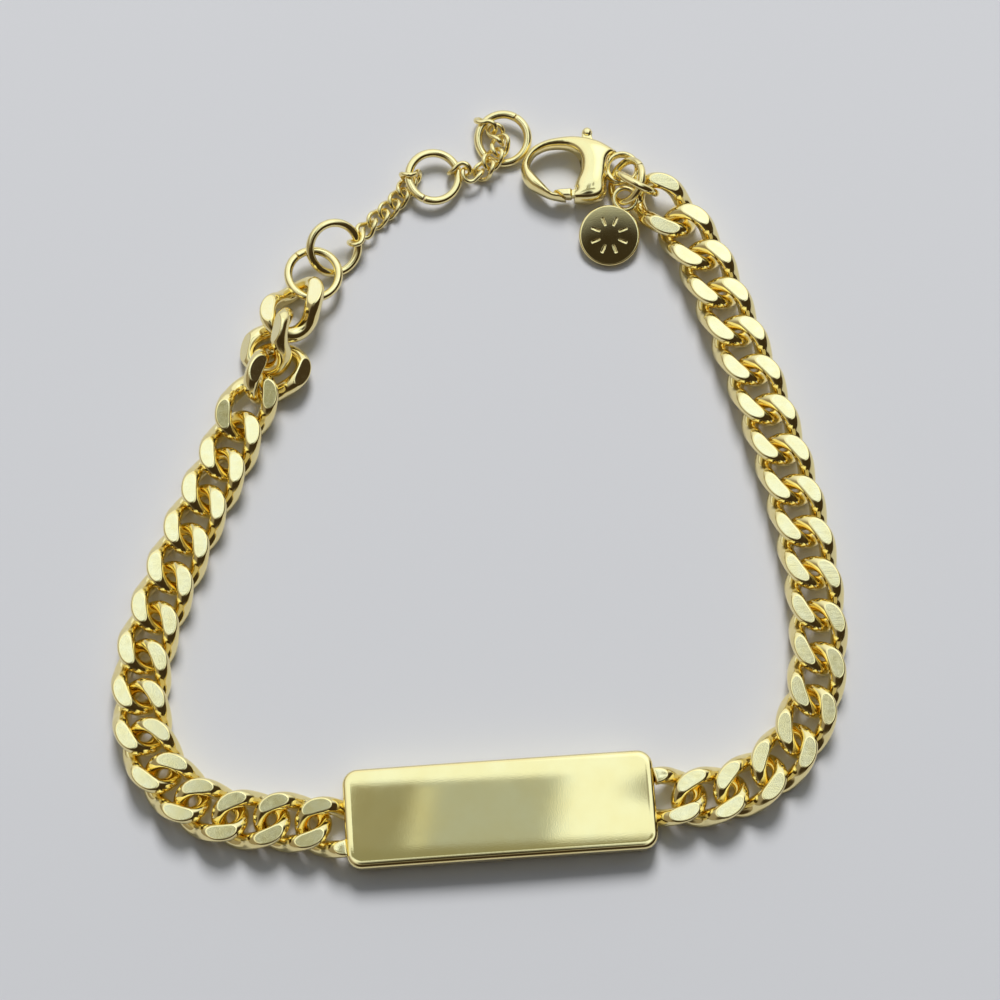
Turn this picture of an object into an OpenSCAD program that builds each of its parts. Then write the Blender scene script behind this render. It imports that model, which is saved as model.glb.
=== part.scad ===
// Curb chain bracelet with a name plate, lobster clasp and extension chain, lying open on a flat surface.
// Millimetres, +Z up, the origin at the centre of the surface under the whole layout.

/* [Main chain] */
// Wire thickness of a main link along its sides
link_wire = 1.75; // [1.6:0.01:1.78]
// Wire thickness of a main link at its two ends
link_end_wire = 1.56; // [1.4:0.01:1.7]
// Half length of a main link, to the middle of its wire
link_half_length = 3.09; // [3.05:0.01:3.15]
// Half width of a main link, to the middle of its wire
link_half_width = 2.03; // [1.98:0.01:2.08]
// Angle by which each end of a main link is twisted
link_twist = 59; // [57:1:61]
// Thickness of the chain between its ground flats
chain_thickness = 3; // [2.8:0.05:3.1]

/* [Plate] */
// Length of the plate
plate_length = 30; // [28.5:0.1:30.5]
// Width of the plate
plate_width = 9.6; // [8:0.1:10]
// Thickness of the plate
plate_thickness = 2.1; // [1.2:0.1:2.3]
// Radius of the plate's corners
plate_corner = 1.5; // [0.5:0.1:2]
// Drop of the plate's two ends below its middle
plate_bow = 0.2; // [0.1:0.05:0.4]

/* [Rings] */
// Outer diameter of the four extension rings
ring_diameter = 5.98; // [5.9:0.01:6]
// Wire thickness of the four extension rings
ring_wire = 0.86; // [0.7:0.01:0.88]
// Outer diameter of the two jump rings
jump_diameter = 5.15; // [5.1:0.01:5.2]
// Wire thickness of the two jump rings
jump_wire = 0.77; // [0.6:0.01:0.78]

/* [Fine chain] */
// Wire thickness of a fine link
fine_wire = 0.5; // [0.4:0.01:0.52]
// Half length of a fine link, to the middle of its wire
fine_half_length = 1.18; // [1.16:0.01:1.2]
// Half width of a fine link, to the middle of its wire
fine_half_width = 0.8; // [0.78:0.01:0.82]

/* [Tag] */
// Diameter of the round tag
tag_diameter = 6.2; // [5.6:0.1:6.2]
// Thickness of the round tag
tag_thickness = 0.65; // [0.5:0.05:0.65]

/* [Clasp] */
// Thickness of the clasp at its middle
clasp_thickness = 3; // [2.7:0.05:3.1]
// Thickness of the sprung lever
lever_thickness = 0.75; // [0.6:0.05:0.8]
// Width of the slot in which the lever turns
slot_width = 0.95; // [0.9:0.05:1.1]
// Diameter of the rivet on which the lever turns
rivet_diameter = 0.8; // [0.7:0.05:0.9]
// Gap all round between the rivet and the lever's bore
rivet_play = 0.05; // [0.03:0.01:0.07]

/* [Hidden] */
gold = [0.86, 0.7, 0.32];
pale_gold = [0.9, 0.78, 0.45];
// Middle of the layout, moved to the origin
layout_middle = [-1.9, 2.05];
mid_height = chain_thickness / 2;
up = [0, 0, 1];

// Evenly spaced angles, in degrees, round a closed loop of n stations
function stations(n) = [for (i = [0:n - 1]) 360 * i / n];

// Centreline of a curb link whose two ends are twisted opposite ways
link_stations = [0, 28, 48, 70, 90, 110, 132, 152, 180, 208, 228, 250, 270, 290, 312, 332];
twist_power = 0.72;
function twist_at(t, twist) = twist * sign(cos(t)) * pow(abs(cos(t)), twist_power);
function link_spine(ts, a, b, twist, skew) =
    [for (t = ts) [a * cos(t) + skew * b * sin(t), b * sin(t), -b * sin(t) * sin(twist_at(t, twist))]];

// Corners of the wire's section at one station, as angles from level
link_corners = [0, 60, 120, 180, 240, 300];
fine_corners = [18, 90, 162, 234, 306];
function unit(v) = v / norm(v);
function section(spine, i, before, after, corners, r, limit) =
    let (along = unit(spine[after] - spine[before]))
    let (across = unit(cross(along, up)))
    let (over = cross(across, along))
    [for (c = corners) let (p = spine[i] + r * (cos(c) * across + sin(c) * over))
        [p.x, p.y, max(-limit, min(limit, p.z))]];

// Wire through a spine, closed or with two flat ends, its top and bottom cut flat at the limit
module wire(spine, radii, corners, limit, closed) {
    n = len(spine);
    m = len(corners);
    last = closed ? n - 1 : n - 2;
    before = [for (i = [0:n - 1]) closed ? (i + n - 1) % n : max(0, i - 1)];
    after = [for (i = [0:n - 1]) closed ? (i + 1) % n : min(n - 1, i + 1)];
    points = [for (i = [0:n - 1]) each section(spine, i, before[i], after[i], corners, radii[i], limit)];
    sides = [for (i = [0:last], k = [0:m - 1])
        let (here = i * m, next = ((i + 1) % n) * m, k2 = (k + 1) % m)
        each [[here + k, here + k2, next + k2], [here + k, next + k2, next + k]]];
    end = (n - 1) * m;
    caps = closed ? [] : [for (k = [1:m - 2]) each [[0, k + 1, k], [end, end + k, end + k + 1]]];
    polyhedron(points = points, faces = concat(sides, caps), convexity = 6);
}

// Main curb link, ground flat above and below; skew leans its two sides along the chain
module link_wire_through(ts, skew, closed) {
    side = link_wire / 2;
    end = link_end_wire / 2;
    wire(link_spine(ts, link_half_length, link_half_width, link_twist, skew),
        [for (t = ts) side + (end - side) * pow(abs(cos(t)), 4)], link_corners, mid_height, closed);
}
module curb_link(skew) { link_wire_through(link_stations, skew, true); }

// Fine curb link, left round
fine_twist = 50;
fine_stations = 12;
module fine_link() {
    wire(link_spine(stations(fine_stations), fine_half_length, fine_half_width, fine_twist, 0),
        [for (t = stations(fine_stations)) fine_wire / 2], fine_corners, fine_half_length, true);
}

// Lie of a piece: x, y, z, then yaw, pitch and roll
module lie(p) {
    translate([p[0] - layout_middle.x, p[1] - layout_middle.y, p[2]]) rotate([p[5], p[4], p[3]]) children();
}

// Chain routes away from the plate: for each link its turn in degrees, then its step along the chain
right_skew = 0.08;
right_start = [16.2, -30.1];
right_heading = -5;
right_route = [
    [13, 4.05], [20, 4.1], [20, 4.15], [19, 4.2], [14, 4.25], [9, 4.3], [6, 4.25], [4, 4.25], [3, 4.3],
    [2, 4.35], [2, 4.35], [2, 4.35], [1, 4.35], [1, 4.35], [1, 4.35], [9, 4.35]];
left_skew = -0.08;
left_start = [-16.02, -33.12];
left_heading = 169;
left_route = [
    [6, 4], [3, 4], [-20, 4], [-21, 4], [-20, 4], [-20, 4], [-10, 4], [-12, 4], [-4, 4.25],
    [-2, 4.2], [-1, 4.25], [-3, 4.25], [4, 4.05]];
function turned(route, start, k) = k == 0 ? start : turned(route, start, k - 1) + route[k - 1][0];
function reached(route, from, start, k) = k == 0 ? from :
    let (h = (turned(route, start, k - 1) + turned(route, start, k)) / 2)
    reached(route, from, start, k - 1) + route[k - 1][1] * [cos(h), sin(h)];
function route_lie(route, from, start, k) = let (p = reached(route, from, start, k))
    [p.x, p.y, mid_height, turned(route, start, k), 0, 0];

// Links beyond the routes: x, y, z, yaw, pitch, roll
right_end = [[16.7, 30.5, 1.62, 132, -4, -2]];
left_end = [
    [-25.25, 9.2, 1.83, 63, -6, 3],
    [-22.65, 12.7, 2.1, 45, 17, 25],
    [-22.9, 15.9, 2.25, 58, -27, -40],
    [-20.8, 19.55, 2.25, 59, 8, -13]];
function right_lie(k) = k <= len(right_route) ? route_lie(right_route, right_start, right_heading, k)
    : right_end[k - len(right_route) - 1];
function left_lie(k) = k <= len(left_route) ? route_lie(left_route, left_start, left_heading, k)
    : left_end[k - len(left_route) - 1];
module right_link(k) { lie(right_lie(k)) curb_link(right_skew); }
module left_link(k) { lie(left_lie(k)) curb_link(left_skew); }

// Name plate, gently bowed along and crowned across, with half a link soldered to each end
plate_lie = [0, -31.4, 0, 4, 0, 0];
plate_crown = 0.12;
bow_facets = 1440;
crown_facets = 720;
half_stations = [238, 254, 270, 290, 312, 332, 0, 28, 48, 70, 90, 106, 122];
function arc_radius(half, rise) = (half * half + rise * rise) / (2 * rise);
module half_link(place, heading, skew) {
    lie([place.x, place.y, mid_height, heading, 0, 0]) link_wire_through(half_stations, skew, false);
}
module plate_body() {
    l = plate_length - 2 * plate_corner;
    w = plate_width - 2 * plate_corner;
    bow = arc_radius(plate_length / 2, plate_bow);
    crown = arc_radius(plate_width / 2, plate_crown);
    difference() {
        intersection() {
            union() {
                translate([-l / 2, -plate_width / 2, 0]) cube([l, plate_width, chain_thickness]);
                translate([-plate_length / 2, -w / 2, 0]) cube([plate_length, w, chain_thickness]);
                for (x = [-l / 2, l / 2], y = [-w / 2, w / 2])
                    translate([x, y, 0]) cylinder(r = plate_corner, h = chain_thickness, $fn = 48);
            }
            translate([0, plate_width, chain_thickness - bow]) rotate([90, 0, 0])
                cylinder(r = bow, h = 2 * plate_width, $fn = bow_facets);
            translate([-plate_length, 0, chain_thickness - crown]) rotate([0, 90, 0])
                cylinder(r = crown, h = 2 * plate_length, $fn = crown_facets);
        }
        translate([0, plate_width, chain_thickness - bow]) rotate([90, 0, 0])
            cylinder(r = bow - plate_thickness, h = 2 * plate_width, $fn = bow_facets);
    }
}

// Round ring lying in its own plane
module round_ring(outer, wire) {
    rotate_extrude($fn = 96) translate([(outer - wire) / 2, 0]) circle(d = wire, $fn = 32);
}

// Lies of the rings and the tag: x, y, z, yaw, pitch, roll
ring_lies = [
    [-18.9, 23.2, 1.8, 2, 5, -2],
    [-16.85, 26, 1.9, 2, 23, 27],
    [-6.8, 33.95, 1.27, -2, 6, 3],
    [0.3, 38.3, 0.87, -1, -3, 9]];
jump_lies = [
    [12.95, 33.15, 2.07, -14, -47, 8],
    [13.95, 32.8, 2.42, -50, -41, 120]];
tag_lie = [11.15, 27.65, 1.05, 66, -13, 4];

// Fine chains: lies of their links
fine_lies_1 = [
    [-14.45, 27.25, 1.27, 60, 30, 117],
    [-13.55, 28.55, 0.9, 50, 5, -22],
    [-12.45, 29.7, 0.62, 45, 2, 1],
    [-11.3, 30.75, 0.62, 44, -2, -3],
    [-10.35, 31.9, 0.62, 55, 3, -1],
    [-9.55, 33.2, 0.6, 66, -1, -1],
    [-9.1, 34, 1.25, 7, 49, 77]];
fine_lies_2 = [
    [-4.15, 34.7, 1.18, 2, -29, 82],
    [-2.85, 34.4, 1.12, 32, 27, -19],
    [-1.55, 34.8, 1.04, 33, -30, -1],
    [-0.7, 35.95, 1.33, 55, -2, -2],
    [0, 37.45, 1.21, 78, 3, 2],
    [-0.25, 38.65, 1, 118, -4, 37],
    [-1.45, 39.75, 1.06, 146, 6, 88]];

// Round tag with a plain ring of short rays on its face and a wire loop at its edge
tag_loop_radius = 1.12;
tag_loop_wire = 0.52;
tag_loop_reach = 4.05;
ray_count = 8;
ray_start = 1.1;
ray_length = 0.8;
ray_width = 0.16;
ray_depth = 0.12;
module tag_body() {
    difference() {
        cylinder(d = tag_diameter, h = tag_thickness, center = true, $fn = 96);
        for (a = stations(ray_count))
            rotate([0, 0, a]) translate([ray_start, -ray_width / 2, tag_thickness / 2 - ray_depth])
                cube([ray_length, ray_width, 2 * ray_depth]);
    }
    translate([tag_loop_reach, 0, 0]) rotate_extrude($fn = 64)
        translate([tag_loop_radius, 0]) circle(d = tag_loop_wire, $fn = 24);
}

// Clasp: outlines about the middle of its tail eye, read anticlockwise from the tail
clasp_lie = [12.51, 34.73, clasp_thickness / 2, 0, 0, 0];
body_outline = [
    [-1.3, 0.8], [-0.75, 1.45], [-0.5, 1.76], [-1.06, 2.2], [-2.14, 2.86], [-3.01, 3.17], [-4.16, 3.42],
    [-5.5, 3.48], [-7.27, 3.22], [-8.37, 2.82], [-9.2, 2.27], [-9.77, 1.62], [-10.2, 0.78], [-10.36, -0.03],
    [-10.2, -1.08], [-9.76, -1.84], [-9.18, -2.35], [-7.64, -3.2], [-6.5, -3.5], [-4.84, -3.72],
    [-3.5, -3.78], [-2.45, -3.55], [-1.86, -3.1], [-1.62, -2.5], [-1.62, -1.7], [-1.5, -0.9]];
opening_outline = [
    [-9.38, 0.39], [-9.18, 0.92], [-8.72, 1.5], [-7.85, 1.99], [-6.75, 2.18], [-5.6, 2.08], [-4.88, 1.66],
    [-4.44, 1.02], [-4.32, 0.25], [-4.44, -0.6], [-4.8, -1.45], [-4.98, -2.1], [-5, -2.6], [-6.8, -2.68],
    [-7.28, -2.5], [-7.92, -1.8], [-9.05, -0.49], [-9.38, 0]];
outline_steps = 4;
function wrap(p, i) = p[(i + len(p)) % len(p)];
function curve_point(a, b, c, d, t) =
    (2 * b + (c - a) * t + (2 * a - 5 * b + 4 * c - d) * t * t + (3 * b - a - 3 * c + d) * t * t * t) / 2;
function smooth_loop(p) = [for (i = [0:len(p) - 1], j = [0:outline_steps - 1])
    curve_point(wrap(p, i - 1), p[i], wrap(p, i + 1), wrap(p, i + 2), j / outline_steps)];

// Lever: its pivot, the radius its free end sweeps and the outlines of lever and slot
pivot = [-2.9, 1.5];
sweep_radius = 5.75;
sweep_gap = 0.1;
hub_radius = 0.95;
lever_arm = [
    [-3.8, 1.4], [-3.85, 0], [-4.05, -1.5], [-5.0, -2.3], [-7.6, -2.6], [-7.6, -3.2],
    [-4.9, -3.2], [-4.1, -2.85], [-3.3, -2.1], [-2.55, -0.5], [-2.0, 1.3], [-2.9, 1.6]];
lever_thumb = [
    [-3.8, 1.6], [-4.1, 3.4], [-4.1, 3.98], [-3.92, 4.33], [-3.56, 4.5], [-3.2, 4.33], [-3.02, 3.98],
    [-2.98, 3.3], [-2.1, 1.9]];
lever_gate = [[-5.15, -2.35], [-5.3, -2.25], [-6.5, -2.32], [-7.2, -2.55], [-7.2, -3.3], [-5.15, -3.3]];
gate_thickness = 1.6;
slot_arm = [
    [-3.95, 1.6], [-4.7, 0.3], [-6.5, -0.8], [-7.9, -1.5], [-7.9, -3.35], [-4.85, -3.35], [-3.95, -3.0],
    [-3.05, -2.2], [-2.25, 0], [-1.85, 1.5], [-2.9, 1.7]];
slot_thumb = [[-3.95, 1.4], [-4.35, 3.4], [-4.35, 5], [-0.9, 5], [-1.4, 3.2], [-1.85, 1.5], [-2.9, 1.3]];
rivet_fit = 0.02;
rivet_length = 2.2;
eye_wire = 0.64;
eye_radius = 1.56;
eye_rise = 0.22;
dome_across = 6.6;
dome_along = 22;
body_middle = [-5.6, -0.2];
dome_length = 40;
gate_corner = [-7.8, -4.4];
gate_size = [2.9, 2.2];
through = 8;

module swept(radius, height) {
    translate([pivot.x, pivot.y, -height / 2]) cylinder(r = radius, h = height, $fn = 180);
}
module slab(outline, height) {
    translate([0, 0, -height / 2]) linear_extrude(height = height) polygon(outline);
}
module gate_gap() {
    intersection() {
        swept(sweep_radius + sweep_gap, through);
        translate([gate_corner.x, gate_corner.y, -through / 2]) cube([gate_size.x, gate_size.y, through]);
    }
}
module lever_slot() {
    intersection() {
        swept(sweep_radius + sweep_gap, slot_width);
        slab(slot_arm, slot_width);
    }
    slab(slot_thumb, slot_width);
    swept(hub_radius + sweep_gap, slot_width);
}
module eye_ring() {
    for (z = [-eye_rise, eye_rise])
        translate([0, 0, z]) rotate_extrude($fn = 96)
            translate([eye_radius, 0]) circle(d = eye_wire, $fn = 32);
    difference() {
        cylinder(r = eye_radius + eye_wire / 2, h = 2 * eye_rise, center = true, $fn = 96);
        cylinder(r = eye_radius - eye_wire / 2, h = through, center = true, $fn = 96);
    }
}
module long_round(radius, facets, height, turn) {
    translate([body_middle.x, body_middle.y, height]) rotate(turn)
        cylinder(r = radius, h = dome_length, center = true, $fn = facets);
}
module pivot_bore(play) {
    translate([pivot.x, pivot.y, -through / 2])
        cylinder(d = rivet_diameter + 2 * play, h = through, $fn = 48);
}
module clasp_shell() {
    half = clasp_thickness / 2;
    intersection() {
        difference() {
            slab(smooth_loop(body_outline), clasp_thickness);
            slab(smooth_loop(opening_outline), through);
            gate_gap();
            lever_slot();
            cylinder(r = eye_radius, h = through, center = true, $fn = 96);
            pivot_bore(rivet_fit);
        }
        long_round(dome_across, 240, half - dome_across, [0, 90, 0]);
        long_round(dome_across, 240, dome_across - half, [0, 90, 0]);
        long_round(dome_along, 480, half - dome_along, [90, 0, 0]);
        long_round(dome_along, 480, dome_along - half, [90, 0, 0]);
    }
}

// Lever, thumb pad and bore; the free end is an arc about the pivot, so it clears the hook all the way
thumb_pad = [-3.56, 3.94];
thumb_pad_diameter = 1.1;
thumb_pad_thickness = 1.2;
module lever_plate() {
    difference() {
        union() {
            intersection() {
                swept(sweep_radius, lever_thickness);
                slab(lever_arm, lever_thickness);
            }
            intersection() {
                swept(sweep_radius, gate_thickness);
                slab(lever_gate, gate_thickness);
            }
            slab(lever_thumb, lever_thickness);
            swept(hub_radius, lever_thickness);
            translate([thumb_pad.x, thumb_pad.y, -thumb_pad_thickness / 2])
                cylinder(d = thumb_pad_diameter, h = thumb_pad_thickness, $fn = 32);
        }
        pivot_bore(rivet_play);
    }
}

// Pieces
module link_r01() color(gold) right_link(1);
module link_r02() color(gold) right_link(2);
module link_r03() color(gold) right_link(3);
module link_r04() color(gold) right_link(4);
module link_r05() color(gold) right_link(5);
module link_r06() color(gold) right_link(6);
module link_r07() color(gold) right_link(7);
module link_r08() color(gold) right_link(8);
module link_r09() color(gold) right_link(9);
module link_r10() color(gold) right_link(10);
module link_r11() color(gold) right_link(11);
module link_r12() color(gold) right_link(12);
module link_r13() color(gold) right_link(13);
module link_r14() color(gold) right_link(14);
module link_r15() color(gold) right_link(15);
module link_r16() color(gold) right_link(16);
module link_r17() color(gold) right_link(17);
module link_l01() color(gold) left_link(1);
module link_l02() color(gold) left_link(2);
module link_l03() color(gold) left_link(3);
module link_l04() color(gold) left_link(4);
module link_l05() color(gold) left_link(5);
module link_l06() color(gold) left_link(6);
module link_l07() color(gold) left_link(7);
module link_l08() color(gold) left_link(8);
module link_l09() color(gold) left_link(9);
module link_l10() color(gold) left_link(10);
module link_l11() color(gold) left_link(11);
module link_l12() color(gold) left_link(12);
module link_l13() color(gold) left_link(13);
module link_l14() color(gold) left_link(14);
module link_l15() color(gold) left_link(15);
module link_l16() color(gold) left_link(16);
module link_l17() color(gold) left_link(17);
module id_plate() color(pale_gold) {
    lie(plate_lie) plate_body();
    half_link(right_start, right_heading, right_skew);
    half_link(left_start, left_heading, left_skew);
}
module clasp_body() color(gold) lie(clasp_lie) {
    clasp_shell();
    eye_ring();
}
module clasp_lever() color(pale_gold) lie(clasp_lie) lever_plate();
module clasp_rivet() color(pale_gold) lie(clasp_lie)
    translate([pivot.x, pivot.y, -rivet_length / 2]) cylinder(d = rivet_diameter, h = rivet_length, $fn = 48);
module jump_ring_1() color(gold) lie(jump_lies[0]) round_ring(jump_diameter, jump_wire);
module jump_ring_2() color(gold) lie(jump_lies[1]) round_ring(jump_diameter, jump_wire);
module tag() color(gold) lie(tag_lie) tag_body();
module ring_1() color(gold) lie(ring_lies[0]) round_ring(ring_diameter, ring_wire);
module ring_2() color(gold) lie(ring_lies[1]) round_ring(ring_diameter, ring_wire);
module ring_3() color(gold) lie(ring_lies[2]) round_ring(ring_diameter, ring_wire);
module ring_4() color(gold) lie(ring_lies[3]) round_ring(ring_diameter, ring_wire);
module fine_chain_1() color(gold) for (p = fine_lies_1) lie(p) fine_link();
module fine_chain_2() color(gold) for (p = fine_lies_2) lie(p) fine_link();

link_r01();
link_r02();
link_r03();
link_r04();
link_r05();
link_r06();
link_r07();
link_r08();
link_r09();
link_r10();
link_r11();
link_r12();
link_r13();
link_r14();
link_r15();
link_r16();
link_r17();
link_l01();
link_l02();
link_l03();
link_l04();
link_l05();
link_l06();
link_l07();
link_l08();
link_l09();
link_l10();
link_l11();
link_l12();
link_l13();
link_l14();
link_l15();
link_l16();
link_l17();
id_plate();
clasp_body();
clasp_lever();
clasp_rivet();
jump_ring_1();
jump_ring_2();
tag();
ring_1();
ring_2();
ring_3();
ring_4();
fine_chain_1();
fine_chain_2();
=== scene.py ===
"""Curb chain bracelet with a name plate: the looks of every piece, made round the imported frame.

All tables are in millimetres, as in the part's source; meshes are made in millimetres and stored in metres.
"""

import math

import bmesh
import bpy
import numpy as np
from bpy.props import FloatProperty, FloatVectorProperty, IntProperty, PointerProperty
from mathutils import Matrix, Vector, geometry


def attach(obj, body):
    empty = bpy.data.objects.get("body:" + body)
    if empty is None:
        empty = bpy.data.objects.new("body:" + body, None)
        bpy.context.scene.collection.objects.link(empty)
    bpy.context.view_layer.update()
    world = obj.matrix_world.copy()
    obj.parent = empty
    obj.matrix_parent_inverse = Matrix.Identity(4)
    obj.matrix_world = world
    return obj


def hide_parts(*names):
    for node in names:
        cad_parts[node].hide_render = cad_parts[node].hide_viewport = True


bl_info = {
    "name": "Curb chain bracelet",
    "version": (1, 0, 0),
    "blender": (4, 5, 0),
    "location": "View3D > Sidebar > Bracelet",
    "description": "Builds a gold curb chain bracelet with a name plate, clasp and extension chain",
    "category": "Object",
}

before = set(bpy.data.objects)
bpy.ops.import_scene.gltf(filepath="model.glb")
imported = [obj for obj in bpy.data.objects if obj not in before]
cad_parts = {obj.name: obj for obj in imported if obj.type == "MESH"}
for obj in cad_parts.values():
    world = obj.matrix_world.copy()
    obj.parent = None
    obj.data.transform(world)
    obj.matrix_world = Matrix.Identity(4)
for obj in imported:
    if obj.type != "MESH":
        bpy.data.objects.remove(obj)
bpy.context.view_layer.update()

MM = 0.001
UP = np.array([0.0, 0.0, 1.0])
LAYOUT_MIDDLE = (-1.9, 2.05)
BRACELET = "bracelet"
LEVER = "lever"

# Chain routes away from the plate: each link's turn in degrees and its step along the chain
RIGHT_START, RIGHT_HEADING, RIGHT_SKEW = (16.2, -30.1), -5, 0.08
RIGHT_ROUTE = (
    (13, 4.05), (20, 4.1), (20, 4.15), (19, 4.2), (14, 4.25), (9, 4.3), (6, 4.25), (4, 4.25), (3, 4.3),
    (2, 4.35), (2, 4.35), (2, 4.35), (1, 4.35), (1, 4.35), (1, 4.35), (9, 4.35))
LEFT_START, LEFT_HEADING, LEFT_SKEW = (-16.02, -33.12), 169, -0.08
LEFT_ROUTE = (
    (6, 4), (3, 4), (-20, 4), (-21, 4), (-20, 4), (-20, 4), (-10, 4), (-12, 4), (-4, 4.25),
    (-2, 4.2), (-1, 4.25), (-3, 4.25), (4, 4.05))

# Lies of single pieces: x, y, z, then yaw, pitch and roll in degrees
RIGHT_END = ((16.7, 30.5, 1.62, 132, -4, -2),)
LEFT_END = (
    (-25.25, 9.2, 1.83, 63, -6, 3), (-22.65, 12.7, 2.1, 45, 17, 25),
    (-22.9, 15.9, 2.25, 58, -27, -40), (-20.8, 19.55, 2.25, 59, 8, -13))
PLATE_LIE = (0, -31.4, 0, 4, 0, 0)
RING_LIES = (
    (-18.9, 23.2, 1.8, 2, 5, -2), (-16.85, 26, 1.9, 2, 23, 27),
    (-6.8, 33.95, 1.27, -2, 6, 3), (0.3, 38.3, 0.87, -1, -3, 9))
JUMP_LIES = ((12.95, 33.15, 2.07, -14, -47, 8), (13.95, 32.8, 2.42, -50, -41, 120))
TAG_LIE = (11.15, 27.65, 1.05, 66, -13, 4)
FINE_LIES = (
    ((-14.45, 27.25, 1.27, 60, 30, 117), (-13.55, 28.55, 0.9, 50, 5, -22), (-12.45, 29.7, 0.62, 45, 2, 1),
     (-11.3, 30.75, 0.62, 44, -2, -3), (-10.35, 31.9, 0.62, 55, 3, -1), (-9.55, 33.2, 0.6, 66, -1, -1),
     (-9.1, 34, 1.25, 7, 49, 77)),
    ((-4.15, 34.7, 1.18, 2, -29, 82), (-2.85, 34.4, 1.12, 32, 27, -19), (-1.55, 34.8, 1.04, 33, -30, -1),
     (-0.7, 35.95, 1.33, 55, -2, -2), (0, 37.45, 1.21, 78, 3, 2), (-0.25, 38.65, 1, 118, -4, 37),
     (-1.45, 39.75, 1.06, 146, 6, 88)))

# Power of the cosine that leads a link's twist, and how far it is blunted at the middle of the sides
TWIST_POWER, TWIST_BLUNTING = 0.72, 0.015
# Angle each side of its round end at which a soldered half link stops, inside the plate
HALF_LINK_REACH = 122
# Bands that round a ground flat's edge: width and rise of each, as shares of the softened rim
RIM_BANDS = ((0.18, 0.22), (0.24, 0.17), (0.28, 0.1), (0.3, 0.04))
# A fine link, to the middle of its wire, and its twist in degrees
FINE_HALF_LENGTH, FINE_HALF_WIDTH, FINE_TWIST = 1.18, 0.8, 50
# Where each ring's two ends meet, in degrees, half the gap there and the bevel of the ends
RING_SEAMS, JUMP_SEAMS = (130, 20, 250, 60), (40, 200)
SEAM_GAP, SEAM_BEVEL = 0.02, 0.05

# Clasp, about the middle of its tail eye
CLASP_LIE = (12.51, 34.73, 1.5, 0, 0, 0)
PIVOT = (-2.9, 1.5)
# Radii of the tail eye, and of the place cleared for it in the casting
EYE_OUTER, EYE_INNER, EYE_CUT = 1.88, 1.24, 1.56
# The lever's slot in the casting, and the slot's radius round the hub
SLOT_WIDTH, SLOT_ROUND_HUB = 0.95, 1.05
HUB_RADIUS, PAD_MIDDLE, PAD_RADIUS = 0.95, (-3.56, 3.94), 0.55
# Circles about the pivot that bound the cuts in the casting, and the lever itself
BODY_SWEEP, LEVER_SWEEP = 5.85, 5.75
CUT_THROUGH = 6
BODY_OUTLINE = (
    (-1.3, 0.8), (-0.75, 1.45), (-0.5, 1.76), (-1.06, 2.2), (-2.14, 2.86), (-3.01, 3.17), (-4.16, 3.42),
    (-5.5, 3.48), (-7.27, 3.22), (-8.37, 2.82), (-9.2, 2.27), (-9.77, 1.62), (-10.2, 0.78), (-10.36, -0.03),
    (-10.2, -1.08), (-9.76, -1.84), (-9.18, -2.35), (-7.64, -3.2), (-6.5, -3.5), (-4.84, -3.72),
    (-3.5, -3.78), (-2.45, -3.55), (-1.86, -3.1), (-1.62, -2.5), (-1.62, -1.7), (-1.5, -0.9))
OPENING_OUTLINE = (
    (-9.38, 0.39), (-9.18, 0.92), (-8.72, 1.5), (-7.85, 1.99), (-6.75, 2.18), (-5.6, 2.08), (-4.88, 1.66),
    (-4.44, 1.02), (-4.32, 0.25), (-4.44, -0.6), (-4.8, -1.45), (-4.98, -2.1), (-5, -2.6), (-6.8, -2.68),
    (-7.28, -2.5), (-7.92, -1.8), (-9.05, -0.49), (-9.38, 0))
LEVER_ARM = (
    (-3.8, 1.4), (-3.85, 0), (-4.05, -1.5), (-5.0, -2.3), (-7.6, -2.6), (-7.6, -3.2),
    (-4.9, -3.2), (-4.1, -2.85), (-3.3, -2.1), (-2.55, -0.5), (-2.0, 1.3), (-2.9, 1.6))
LEVER_THUMB = (
    (-3.8, 1.6), (-4.1, 3.4), (-4.1, 3.98), (-3.92, 4.33), (-3.56, 4.5), (-3.2, 4.33), (-3.02, 3.98),
    (-2.98, 3.3), (-2.1, 1.9))
GATE_CUT = ((-7.8, -4.4), (-4.9, -4.4), (-4.9, -2.2), (-7.8, -2.2))
LEVER_GATE = ((-5.15, -2.35), (-5.3, -2.25), (-6.5, -2.32), (-7.2, -2.55), (-7.2, -3.3), (-5.15, -3.3))
SLOT_ARM = (
    (-3.95, 1.6), (-4.7, 0.3), (-6.5, -0.8), (-7.9, -1.5), (-7.9, -3.35), (-4.85, -3.35), (-3.95, -3.0),
    (-3.05, -2.2), (-2.25, 0), (-1.85, 1.5), (-2.9, 1.7))
SLOT_THUMB = ((-3.95, 1.4), (-4.35, 3.4), (-4.35, 5), (-0.9, 5), (-1.4, 3.2), (-1.85, 1.5), (-2.9, 1.3))


# Lies and routes

def turn_matrix(yaw, pitch, roll):
    """Rotation by roll, then pitch, then yaw, in degrees."""
    a, b, c = (math.radians(v) for v in (yaw, pitch, roll))
    about_z = np.array([[math.cos(a), -math.sin(a), 0], [math.sin(a), math.cos(a), 0], [0, 0, 1]])
    about_y = np.array([[math.cos(b), 0, math.sin(b)], [0, 1, 0], [-math.sin(b), 0, math.cos(b)]])
    about_x = np.array([[1, 0, 0], [0, math.cos(c), -math.sin(c)], [0, math.sin(c), math.cos(c)]])
    return about_z @ about_y @ about_x


def put(points, lie):
    """Points of a piece moved to where it lies, in millimetres."""
    x, y, z, yaw, pitch, roll = lie
    place = np.array([x - LAYOUT_MIDDLE[0], y - LAYOUT_MIDDLE[1], z])
    return np.asarray(points, float) @ turn_matrix(yaw, pitch, roll).T + place


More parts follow.
